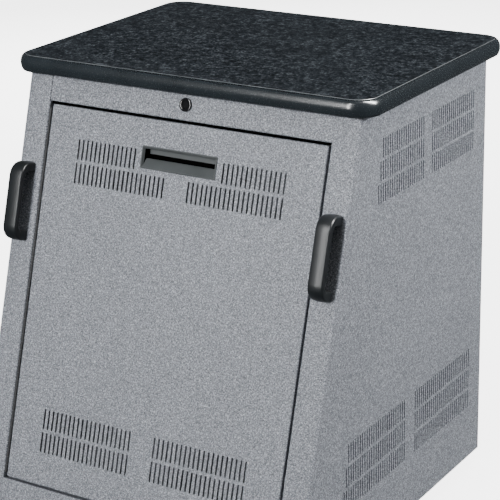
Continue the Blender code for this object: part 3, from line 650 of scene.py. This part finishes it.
def make_front_header():
    """The header: its right end runs flush on to the stile, and its left end leaves a joint darkened by a
    strip of painted shade.
    """
    low, _, _ = box_of("header_panel")
    left, right = low.x, OPENING_HALF - SMALL_GAP
    top, bottom, bend = -HEADER_TOP, -HEADER_BOTTOM, RIM_BEND
    tight = bend - SHEET
    bm = bmesh.new()
    for edge, inward in ((bottom, 1), (top, -1)):
        turn = arc((0, 0), bend, 0, 90, 5)
        inner_turn = arc((0, 0), tight, 90, 0, 4)
        section = [(edge, -FLANGE_DEPTH)]
        section += [(edge + inward * (bend - x), z - bend) for x, z in turn]
        section += [(edge + inward * (bend - x), z - bend) for x, z in inner_turn]
        section += [(edge + inward * SHEET, -FLANGE_DEPTH)]
        add_rings(bm, [[(x, y, z) for y, z in section] for x in (left, right)], FRONT_FACE)
    lap, low_edge, high_edge = OPENING_HALF + BEND, bottom + bend, top - bend
    flat = [(left, low_edge), (lap, low_edge), (lap, high_edge), (left, high_edge)]
    hole = circle((0, -LOCK_DOWN), LOCK_BARREL + SMALL_GAP, 32)
    add_sheet(bm, flat, [hole], SHEET, FRONT_FACE)
    finish_piece(bm, "front_header", PAINT, "cabinet", ["header_panel"])


def make_joint_shade_strip():
    """A dark strip in the joint at the header's left end, painted shade in the seam."""
    width, depth = 0.0030, 0.0016
    middle = (-OPENING_HALF - 0.0008, -0.0018)
    ends = (0.0002 - HEADER_BOTTOM, -0.0004 - HEADER_TOP)
    bm = bmesh.new()
    section = rounded_rectangle(width, depth, 0.0005, 3, middle)
    add_rings(bm, [[(x, y, z) for x, z in section] for y in ends], FRONT_FACE)
    finish_piece(bm, "header_joint_painted_shade", PAINTED_SHADE, "cabinet")


# Doors

def door_slots(door_bottom, twin_rows):
    """A door's slots: a row under its pull and one near its foot, or two of each with twin_rows."""
    lowest = door_bottom - DOOR_LOWEST_ROW_UP
    all_slots = range(SLOTS_IN_DOOR_ROW)
    rows = [(DOOR_FIRST_ROW + DOOR_ROW_PITCH, all_slots), (lowest, all_slots)]
    if twin_rows:
        rows.append((DOOR_FIRST_ROW, range(SLOTS_IN_DOOR_ROW - SLOTS_BESIDE_PULL, SLOTS_IN_DOOR_ROW)))
        rows.append((lowest - DOOR_ROW_PITCH, all_slots))
    holes = []
    for down, numbers in rows:
        for number in numbers:
            across = DOOR_FIRST_SLOT + number * DOOR_SLOT_PITCH
            holes += [slot_outline(x, -down) for x in (across, -across)]
    return holes


def make_door_panel(prefix, face, low, high, twin_rows):
    """A pan: a slotted skin, its bent rim and the flange behind it."""
    left, bottom = low
    right, top = high
    width, height = right - left, top - bottom
    centre = ((left + right) / 2, (bottom + top) / 2)
    corner, bend = 0.0025, RIM_BEND
    tight = bend - SHEET

    def ring(inset, z):
        radius = max(corner - inset, 0.0002)
        outline = rounded_rectangle(width - 2 * inset, height - 2 * inset, radius, 4, centre)
        return [(x, y, z) for x, y in outline]

    section = [(bend + 0.001, 0.0)]
    section += [(bend - x, y - bend) for x, y in arc((0, 0), bend, 90, 0, 5)]
    section += [(0.0, -FLANGE_DEPTH), (SHEET, -FLANGE_DEPTH)]
    section += [(bend - x, y - bend) for x, y in arc((0, 0), tight, 0, 90, 4)]
    section += [(bend + 0.001, -SHEET)]
    bm = bmesh.new()
    add_rings(bm, [ring(inset, z) for inset, z in section], face, path_closed=True)
    pull_low, pull_high, _ = box_of(prefix + "_pull")
    window_width = pull_high.x - pull_low.x - 2 * PULL_NECK + 2 * SMALL_GAP
    window_height = PULL_HEIGHT - 2 * PULL_NECK + 2 * SMALL_GAP
    window = rounded_rectangle(window_width, window_height, 0.001, 3, (0, -PULL_DOWN))
    holes = door_slots(-bottom, twin_rows) + [window]
    skin = [(x, y) for x, y, _ in ring(bend + 0.001, 0.0)]
    add_sheet(bm, skin, holes, SHEET, face)
    finish_piece(bm, prefix + "_skin", PAINT, prefix, [prefix + "_panel"])


def make_pull(prefix, face):
    """A recessed pull: a frame round a deep pocket, with a ramp before the slot for the fingers."""
    pull_low, pull_high, _ = box_of(prefix + "_pull")
    width = pull_high.x - pull_low.x
    half = width / 2 - PULL_NECK
    inner = PULL_HEIGHT / 2 - PULL_NECK - PULL_WALL
    mouth = PULL_HEIGHT / 2 - PULL_FRAME
    back, deepest = -PULL_BACK, -PULL_FLOOR
    wall = PULL_NECK + PULL_WALL
    lining = wall - 0.0001
    place = face @ Matrix.Translation((0, -PULL_DOWN, 0))

    def ring(inset, z):
        radius = max(0.0022 - inset, 0.0005)
        outline = rounded_rectangle(width - 2 * inset, PULL_HEIGHT - 2 * inset, radius, 4)
        return [(x, y, z) for x, y in outline]

    def across(bm, section, reach=half):
        add_rings(bm, [[(x, y, z) for y, z in section] for x in (-reach, reach)], place)

    bm = bmesh.new()
    rim = [
        (PULL_NECK, SMALL_GAP),
        (0.0003, SMALL_GAP),
        (0.0, 0.0006),
        (0.0002, 0.0011),
        (0.0007, PULL_PROUD),
        (PULL_FRAME - 0.0007, PULL_PROUD),
        (PULL_FRAME - 0.0002, 0.0011),
        (PULL_FRAME, 0.0004),
        (lining, -0.0016),
        (lining, -0.0024),
        (PULL_NECK, -0.0024),
    ]
    add_rings(bm, [ring(inset, z) for inset, z in rim], place, path_closed=True)
    # The ramp, rolled over at its free edge
    ramp = [(-mouth - 0.0004, 0.0004), (-0.0110, -0.0022), (-0.0065, -0.0048), (-0.0032, -0.0068)]
    ramp += [(-0.0020, -0.0077), (-0.0015, -0.0084), (-0.0016, -0.0093), (-0.0024, -0.0096)]
    ramp += [(-0.0075, -0.0068), (-inner - 0.0006, -0.0030), (-mouth - 0.0004, -0.0006)]
    across(bm, ramp)
    # The upper part of the pocket's back, and the ceiling over it
    outside, ceiling = inner + 0.0010, inner - 0.0001
    plate = [(0.0055, back), (outside, back), (outside, back - PULL_WALL)]
    across(bm, plate + [(0.0059, back - PULL_WALL), (0.0055, back - 0.0005)])
    across(bm, [(ceiling, -0.0018), (outside, -0.0018), (outside, back), (ceiling, back)])
    node = prefix + "_pull"
    finish_piece(bm, prefix + "_recessed_pull", PULL, prefix, [node], 40)

    # The cup behind, black inside as painted shade of the deep pocket
    bm = bmesh.new()
    shell = [ring(wall, -0.0025), ring(PULL_NECK, -0.0025), ring(PULL_NECK, deepest - PULL_WALL)]
    add_rings(bm, shell + [ring(wall, deepest - PULL_WALL)], place, path_closed=True)
    floor_edge = wall - 0.0004
    floor = [ring(floor_edge, deepest - PULL_WALL), ring(floor_edge, deepest)]
    add_rings(bm, floor, place)
    finish_piece(bm, prefix + "_pull_cup", PAINTED_SHADE, prefix)


def make_hinge(prefix, face, door_bottom):
    """A piano hinge: knuckles that wrap the pin in turn from the cabinet's leaf and the door's."""
    top, bottom = -DOOR_TOP - HINGE_END_GAP, -door_bottom + HINGE_END_GAP
    radius, play = KNUCKLE_RADIUS, 0.00035
    leaf_front = -radius - 0.0006
    leaf_back = leaf_front - LEAF_WIDTH
    place = face @ Matrix.Translation((-OPENING_HALF + HINGE_GAP / 2, 0, -0.0015))
    count = 2 * int((top - bottom) / KNUCKLE_LENGTH / 2) + 1
    pitch = (top - bottom) / count
    upright = Matrix.Rotation(-math.pi / 2, 4, "X")
    for first, side, body, owner in ((0, -1, "cabinet", "frame"), (1, 1, prefix, "door")):
        far = side * (HINGE_GAP / 2 - SMALL_GAP)
        near = far - side * LEAF_THICKNESS
        wall = sorted((far, near))
        bm = bmesh.new()
        add_box(bm, (wall[0], bottom, leaf_back), (wall[1], top, leaf_front), place)
        for number in range(first, count, 2):
            low = top - (number + 1) * pitch + play
            high = top - number * pitch - play
            length, edge = high - low, 0.0004
            barrel = [(0.0, 0.0), (radius - edge, 0.0), (radius, edge)]
            barrel += [(radius, length - edge), (radius - edge, length), (0.0, length)]
            stand = place @ Matrix.Translation((0, low, 0)) @ upright
            add_turned(bm, barrel, stand, steps=14)
            add_box(bm, (wall[0], low, -radius - 0.0008), (wall[1], high, 0.0002), place)
        node = f"{prefix}_hinge_{owner}_leaf"
        finish_piece(bm, f"{prefix}_hinge_{owner}_knuckles", DARK_STEEL, body, [node])


def make_door(prefix, face, sill_top, twin_rows):
    """A door between the stiles, from the header down to the gap over its sill."""
    panel_low, panel_high, _ = box_of(prefix + "_panel")
    flip = 1 if prefix == "front_door" else -1
    edges = sorted((flip * panel_low.x, flip * panel_high.x))
    door_bottom = sill_top - DOOR_SILL_GAP
    low, high = (edges[0], -door_bottom), (edges[1], -DOOR_TOP)
    make_door_panel(prefix, face, low, high, twin_rows)
    make_pull(prefix, face)
    make_hinge(prefix, face, door_bottom)


# Locks

def make_lock(end, face):
    """A cam lock: a lacquered head round a keyed plug, with a chamfered nut behind the sheet."""
    place = face @ Matrix.Translation((0, -LOCK_DOWN, 0))
    bore, barrel, head = 0.0063, LOCK_BARREL, 0.011
    bm = bmesh.new()
    profile = [(bore, 0.0020), (bore + 0.0004, 0.0026)]
    profile += arc((0.0082, 0.0022), 0.0018, 150, 90, 4)
    profile += arc((head - 0.0016, 0.0024), 0.0016, 90, 0, 6)
    profile += [(head, SMALL_GAP), (barrel, SMALL_GAP), (barrel, -0.0175), (bore, -0.0175)]
    add_turned(bm, profile, place, steps=48, closed=True)
    finish_piece(bm, end + "_lock_head", GLOSS_BLACK, "cabinet", [end + "_lock_body"])

    bm = bmesh.new()
    face_height, radius = 0.0026, 0.0059
    keyway = rounded_rectangle(0.0072, 0.0014, 0.0006, 3)
    rim = Matrix.Translation((0, 0, face_height))
    add_sheet(bm, circle((0, 0), radius - 0.0004, 40), [keyway], 0.0022, place @ rim)
    shoulder = [(radius - 0.0004, face_height), (radius, face_height - 0.0004), (radius, -0.0192)]
    shoulder += [(0.0, -0.0192), (0.0, face_height - 0.0022), (radius - 0.0004, face_height - 0.0022)]
    add_turned(bm, shoulder, place, steps=40, closed=True)
    body = end + "_lock"
    finish_piece(bm, end + "_lock_keyed_plug", GLOSS_BLACK, body, [end + "_lock_plug"])

    bm = bmesh.new()
    back = -SHEET - SMALL_GAP
    hexagon = arc((0, 0), 0.0132, 0, 300, 5)
    nut = place @ Matrix.Translation((0, 0, back))
    add_sheet(bm, hexagon, [circle((0, 0), barrel + SMALL_GAP, 32)], 0.004, nut)
    piece = finish_piece(bm, end + "_lock_hex_nut", ZINC, "cabinet", [end + "_lock_nut"])
    soften(piece, 0.0005, 2)


def soften(piece, width, segments):
    bevel = piece.modifiers.new("soft_edges", "BEVEL")
    bevel.width = width
    bevel.segments = segments
    bevel.limit_method = "ANGLE"
    bevel.angle_limit = math.radians(40)
    bevel.harden_normals = True


# Handles

def handle_path(half, height):
    """The bow's middle line as (along, out, thickness), from foot to foot."""
    turn, last_turn = 0.0165, 78
    middle_leg, middle_grip = half - HANDLE_LEG / 2, height - HANDLE_GRIP / 2
    steps = 12
    path = [(-middle_leg, SMALL_GAP, HANDLE_LEG), (-middle_leg, 0.006, HANDLE_LEG - 0.0005)]
    thinning = HANDLE_LEG - HANDLE_GRIP
    for step in range(steps + 1):
        share = step / steps
        angle = math.radians(180 - last_turn * share)
        along = -middle_leg + turn + turn * math.cos(angle)
        out = middle_grip - turn + turn * math.sin(angle)
        path.append((along, out, HANDLE_LEG - 0.0005 - (thinning - 0.0005) * share))
    start = path[-1][0] + 0.0012
    mirrored = [(-along, out, thickness) for along, out, thickness in reversed(path)]
    stops = (start, start + 0.003, 0.0, -start - 0.003, -start)
    straight = [(along, middle_grip, HANDLE_GRIP) for along in stops]
    return path + straight + mirrored


def crowned_section(width, thickness, edge, crown):
    """A flat bar's section with round edges and a slightly domed outer face."""
    across, along = width / 2 - edge, thickness / 2 - edge
    section = arc((across, -along), edge, -90, 0, 4)
    section += arc((across, along), edge, 0, 90, 5)
    for step in range(1, 8):
        x = across * (1 - step / 4)
        section.append((x, thickness / 2 + crown * (1 - (x / across) ** 2)))
    section += arc((-across, along), edge, 90, 180, 5)
    return section + arc((-across, -along), edge, 180, 270, 4)


def make_handle(side_name):
    """A moulded bow handle whose legs flow round into a flat-faced grip."""
    low, high, _ = box_of(side_name + "_handle")
    width = high.x - low.x
    across = (low.x + high.x) / 2
    place = FRONT_FACE @ Matrix.Translation((across, -HANDLE_DOWN, 0))
    crown = 0.0009
    path = handle_path(HANDLE_LENGTH / 2, HANDLE_HEIGHT - crown)
    rings = []
    for number, (along, out, thickness) in enumerate(path):
        before, after = path[max(number - 1, 0)], path[min(number + 1, len(path) - 1)]
        tangent = Vector((0, after[0] - before[0], after[1] - before[1])).normalized()
        outward = Vector((1, 0, 0)).cross(tangent)
        swell = min(out / 0.026, 1.0)
        ring_width = width - 0.0030 * (1 - swell)
        edge = min(0.0030, thickness * 0.34)
        section = crowned_section(ring_width, thickness, edge, crown)
        centre = Vector((0, along, out))
        rings.append([centre + Vector((x, 0, 0)) + outward * y for x, y in section])
    bm = bmesh.new()
    add_rings(bm, rings, place)
    node = side_name + "_handle"
    finish_piece(bm, side_name + "_bow_handle", HANDLE, "cabinet", [node], 60)


# Inside

def make_rail(name):
    """An equipment rail with its face drilled on the 15.9, 15.9, 12.7 mm pattern."""
    low, high, middle = box_of(name)
    side = 1 if middle.x > 0 else -1
    into = 1 if name.startswith("front") else -1
    face_y = low.y if into > 0 else high.y
    inner = low.x if side > 0 else high.x
    outer = high.x if side > 0 else low.x
    thickness, bend = 0.002, 0.0025
    holes, height, step = [], low.z + 0.012, 0
    while height < high.z - 0.010:
        holes.append(circle((inner + side * 0.008, height), 0.0032, 12))
        height += (0.0159, 0.0159, 0.0127)[step % 3]
        step += 1
    slots = [slot_outline(0.017, low.z + 0.06 + 0.10 * number, 0.0065, 0.020) for number in range(6)]
    edge = outer - side * bend
    bm = bmesh.new()
    flat = [(inner, low.z), (edge, low.z), (edge, high.z), (inner, high.z)]
    front = Matrix(((1, 0, 0, 0), (0, 0, -into, face_y), (0, 1, 0, 0), (0, 0, 0, 1)))
    add_sheet(bm, flat, holes, thickness, front)
    leg = [(bend, low.z), (high.y - low.y, low.z), (high.y - low.y, high.z), (bend, high.z)]
    beside = Matrix(((0, 0, side, outer), (into, 0, 0, face_y), (0, 1, 0, 0), (0, 0, 0, 1)))
    add_sheet(bm, leg, slots, thickness, beside)
    corner = [(edge + side * x, face_y + into * (bend - y)) for x, y in arc((0, 0), bend, 90, 0, 5)]
    tight = bend - thickness
    corner += [(edge + side * x, face_y + into * (bend - y)) for x, y in arc((0, 0), tight, 0, 90, 3)]
    add_prism(bm, corner, low.z, high.z)
    finish_piece(bm, name + "_drilled", ZINC, "cabinet", [name])


def pan_head(radius, height):
    """The profile of a pan-head screw, standing on z = 0."""
    return [(0.0, 0.0), (radius, 0.0), (radius, height * 0.35), (radius * 0.86, height * 0.80),
            (radius * 0.55, height), (radius * 0.25, height), (0.0, height * 0.55)]


def make_door_seal(end, face):
    """A foam strip under the header's flange that closes the gap above the door, near-black as painted
    shade in the gap.
    """
    header_low, header_high, _ = box_of("header_panel" if end == "front" else "rear_header")
    half = (header_high.x - header_low.x) / 2
    top, bottom = -HEADER_BOTTOM - 0.0001, -DOOR_TOP + 0.0008
    bm = bmesh.new()
    section = rounded_rectangle(top - bottom, 0.0110, 0.0010, 3, ((top + bottom) / 2, -0.0105))
    add_rings(bm, [[(x, y, z) for y, z in section] for x in (-half + 0.001, half - 0.001)], face)
    finish_piece(bm, end + "_door_seal", PAINTED_SHADE, "cabinet")


def make_screws():
    """Pan-head screws that hold the worktop, put in from under the top pan."""
    bm = bmesh.new()
    _, pan_high, _ = box_of("top_pan")
    down = Matrix.Rotation(math.pi, 4, "X")
    for x in (-0.20, 0.20):
        for y in (-0.04, 0.10, 0.24):
            spot = Matrix.Translation((x, y, pan_high.z - SHEET))
            add_turned(bm, pan_head(0.0045, 0.003), spot @ down, 16)
    finish_piece(bm, "worktop_screws", ZINC, "cabinet")


# Casters

def make_wheel(name):
    """A rubber tyre on a ribbed nylon core."""
    low, high, middle = box_of(name)
    radius = (high.z - low.z) / 2
    half = (high.x - low.x) / 2 - 0.001
    place = Matrix.Translation(middle) @ Matrix.Rotation(math.pi / 2, 4, "Y")
    body = name.replace("_wheel", "_roller")
    rim, bore = radius - 0.0085, 0.0033
    bm = bmesh.new()
    tread = [(rim, -half + 0.0012), (radius - 0.0045, -half)]
    tread += arc((radius - 0.0042, -half + 0.0042), 0.0042, -90, 0, 5)
    tread += [(radius - 0.0002, -0.0030), (radius, 0.0), (radius - 0.0002, 0.0030)]
    tread += arc((radius - 0.0042, half - 0.0042), 0.0042, 0, 90, 5)
    tread += [(radius - 0.0045, half), (rim, half - 0.0012)]
    add_turned(bm, tread, place, 48, closed=True)
    finish_piece(bm, name + "_tyre", RUBBER, body, [name])

    bm = bmesh.new()
    half_hub, web = half + 0.001, 0.0030
    core = [(bore, half_hub), (0.0085, half_hub), (0.0095, half_hub - 0.001), (0.0100, web)]
    core += [(rim - 0.0035, web), (rim - 0.0028, half - 0.0015), (rim - SMALL_GAP, half - 0.0015)]
    core += [(x, -z) for x, z in reversed(core)]
    add_turned(bm, core, place, 48, closed=True)
    for number in range(8):
        turn = place @ Matrix.Rotation(math.pi * number / 4, 4, "Z")
        add_box(bm, (0.009, -0.0009, -half + 0.0035), (rim - 0.003, 0.0009, half - 0.0035), turn)
    finish_piece(bm, name + "_core", WHEEL_CORE, body)


def make_fork(name, pivot):
    """A pressed fork: two cheeks, the crown between them and the race that it swivels on."""
    low, high, _ = box_of(name)
    body = name.replace("_fork", "_swivel")
    sheet, trail, axle_height = 0.0025, 0.028, 0.0375
    half = (high.x - low.x) / 2
    crown = high.z - 0.0052
    place = Matrix.Translation((pivot.x, pivot.y, 0))
    outer, race = 0.0165, crown + 0.0030
    outline = [(-0.020, crown), (-0.020, crown - 0.014)]
    outline += arc((trail, axle_height), 0.009, 215, 380, 14)
    outline += [(0.026, crown - 0.014), (0.024, crown - 0.006), (0.024, crown)]
    bm = bmesh.new()
    for side in (-1, 1):
        flat = Matrix(((0, 0, side, side * outer), (1, 0, 0, 0), (0, 1, 0, 0), (0, 0, 0, 1)))
        hole = circle((trail, axle_height), 0.0033, 20)
        add_sheet(bm, outline, [hole], sheet, place @ flat)
    top = rounded_rectangle(2 * outer, 0.044, 0.004, 5, (0, 0.002))
    add_prism(bm, top, crown - sheet, crown, place)
    race_profile = [(0.0, crown - 0.001), (half - 0.0012, crown - 0.001)]
    race_profile += arc((half - 0.0014, crown + 0.0008), 0.0014, -60, 60, 5)
    race_profile += [(half - 0.004, race), (0.0, race)]
    add_turned(bm, race_profile, place, 40)
    add_turned(bm, [(0.0, crown), (0.005, crown), (0.005, high.z - SMALL_GAP), (0.0, high.z)], place, 20)
    finish_piece(bm, name + "_pressed", ZINC, body, [name])


def make_plate(name):
    """The caster's mounting plate with a hole at its middle and four bolt heads."""
    low, high, middle = box_of(name)
    width, depth = high.x - low.x, high.y - low.y
    bm = bmesh.new()
    outline = rounded_rectangle(width, depth, 0.006, 6)
    place = Matrix.Translation((middle.x, middle.y, high.z))
    add_sheet(bm, outline, [circle((0, 0), 0.0056, 20)], high.z - low.z, place)
    down = Matrix.Rotation(math.pi, 4, "X")
    hexagon = arc((0, 0), 0.0040, 0, 300, 5)
    across, along = width / 2 - 0.0045, depth / 2 - 0.0075
    for x in (-1, 1):
        for y in (-1, 1):
            spot = Matrix.Translation((middle.x + x * across, middle.y + y * along, low.z))
            add_prism(bm, hexagon, 0.0, 0.0030, spot @ down)
    finish_piece(bm, name + "_bolted", ZINC, "cabinet", [name])


def make_axle(name):
    """A hexagon axle bolt with its lock nut."""
    low, high, middle = box_of(name)
    along = Matrix.Translation(middle) @ Matrix.Rotation(math.pi / 2, 4, "Y")
    half = (high.x - low.x) / 2
    head = half - 0.0029
    bm = bmesh.new()
    add_turned(bm, [(0.0, -head), (0.003, -head), (0.003, head), (0.0, head)], along, 20)
    for side in (-1, 1):
        ends = sorted((side * head, side * half))
        add_prism(bm, arc((0, 0), 0.0055, 0, 300, 5), ends[0], ends[1], along)
    body = name.replace("_axle", "_swivel")
    piece = finish_piece(bm, name + "_bolt", ZINC, body, [name])
    soften(piece, 0.0004, 2)


def make_casters():
    for end in ("front", "rear"):
        for side in ("left", "right"):
            name = f"caster_{end}_{side}"
            _, _, pivot = box_of(name + "_plate")
            make_plate(name + "_plate")
            make_fork(name + "_fork", pivot)
            make_axle(name + "_axle")
            make_wheel(name + "_wheel")


def finish_cad_nodes():
    """Gives the CAD nodes that stay in view their finishes."""
    finishes = {"paint": PAINT, "zinc": ZINC, "hinge_steel": DARK_STEEL, "lock_black": GLOSS_BLACK}
    slots = {row["node"]: row["material_slot"] for row in frame["record"]["subparts"]}
    for name, node in frame["nodes"].items():
        if node.hide_render:
            continue
        node.data.materials.clear()
        node.data.materials.append(finishes[slots[name]])


def add_floor():
    """A bright floor that the camera sees and that lights nothing."""
    bm = bmesh.new()
    bmesh.ops.create_grid(bm, x_segments=8, y_segments=8, size=20.0)
    mesh = bpy.data.meshes.new("floor")
    bm.to_mesh(mesh)
    bm.free()
    mesh.materials.append(pale_floor())
    floor = bpy.data.objects.new("floor", mesh)
    bpy.context.scene.collection.objects.link(floor)
    floor.visible_diffuse = False
    floor.visible_glossy = False


add_camera()
add_studio()
add_floor()
make_worktop()
make_side_wall("left", -1)
make_side_wall("right", 1)
make_vent_filters("left", -1)
make_vent_filters("right", 1)
make_front_header()
make_joint_shade_strip()
make_door("front_door", FRONT_FACE, FRONT_SILL_TOP, twin_rows=True)
make_door("rear_door", REAR_FACE, REAR_SILL_TOP, twin_rows=False)
make_lock("front", FRONT_FACE)
make_lock("rear", REAR_FACE)
make_handle("left")
make_handle("right")
for rail in ("front_left_rail", "front_right_rail", "rear_left_rail", "rear_right_rail"):
    make_rail(rail)
make_door_seal("front", FRONT_FACE)
make_door_seal("rear", REAR_FACE)
make_screws()
make_casters()
finish_cad_nodes()
